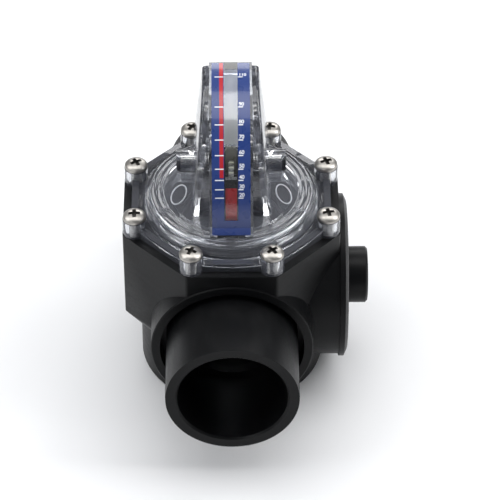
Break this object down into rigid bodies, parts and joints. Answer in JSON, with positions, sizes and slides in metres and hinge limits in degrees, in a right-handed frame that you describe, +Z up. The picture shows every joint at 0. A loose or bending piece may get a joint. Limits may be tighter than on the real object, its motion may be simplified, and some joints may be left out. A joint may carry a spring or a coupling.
{
  "type": "flow meter",
  "caption": "In-line flapper flow meter: black spigot-and-socket valve body with a blanked side port, clear bolted lid and an arc-shaped scale fin with a swinging pointer.",
  "frame": {"origin": "centre of the body's flat base, on the chamber's vertical axis", "axes": "+Z up to the scale fin, +Y towards the inlet, -Y the outlet, +X the blanked third port"},
  "size_m": [0.137, 0.202, 0.1842],
  "materials": {
    "body_plastic": "moulded satin",
    "seat_plastic": "machined",
    "clear_plastic": "clear polycarbonate",
    "clear_keeper": "clear polycarbonate",
    "seal_rubber": "moulded rubber",
    "label_film": "printed film",
    "stainless": "turned",
    "spring_steel": "drawn wire",
    "screw_steel": "cold headed",
    "washer_plastic": "plain",
    "flapper_plastic": "moulded",
    "pointer_red": "moulded",
    "pointer_black": "moulded"
  },
  "bodies": {
    "housing": {"valve_body": "body_plastic", "side_port_cap": "body_plastic", "seat_ring": "seat_plastic", "lid": "clear_plastic", "lid_o_ring": "seal_rubber", "scale_label": "label_film", "hinge_pin": "stainless", "pin_keeper_left": "clear_keeper", "pin_keeper_right": "clear_keeper", "pivot_washer_left": "washer_plastic", "pivot_washer_right": "washer_plastic", "torsion_spring_left": "spring_steel", "torsion_spring_right": "spring_steel", "lid_screw_1": "screw_steel", "lid_screw_2": "screw_steel", "lid_screw_3": "screw_steel", "lid_screw_4": "screw_steel", "lid_screw_5": "screw_steel", "lid_screw_6": "screw_steel", "lid_screw_7": "screw_steel", "lid_screw_8": "screw_steel"},
    "flapper_assembly": {"flapper": "flapper_plastic", "flapper_seal": "seal_rubber", "seal_retainer": "stainless", "seal_screw": "stainless", "pointer": "pointer_red", "pointer_tip": "pointer_black"}
  },
  "joints": [
    {"name": "flapper_swing", "type": "hinge", "parent": "housing", "child": "flapper_assembly", "pos_m": [0, 0.0225, 0.12], "axis": [-1, 0, 0], "range_deg": [0, 57], "stiffness_Nm_per_rad": 0.03, "springref_deg": -20.05, "deforming": ["torsion_spring_left", "torsion_spring_right"]}
  ]
}
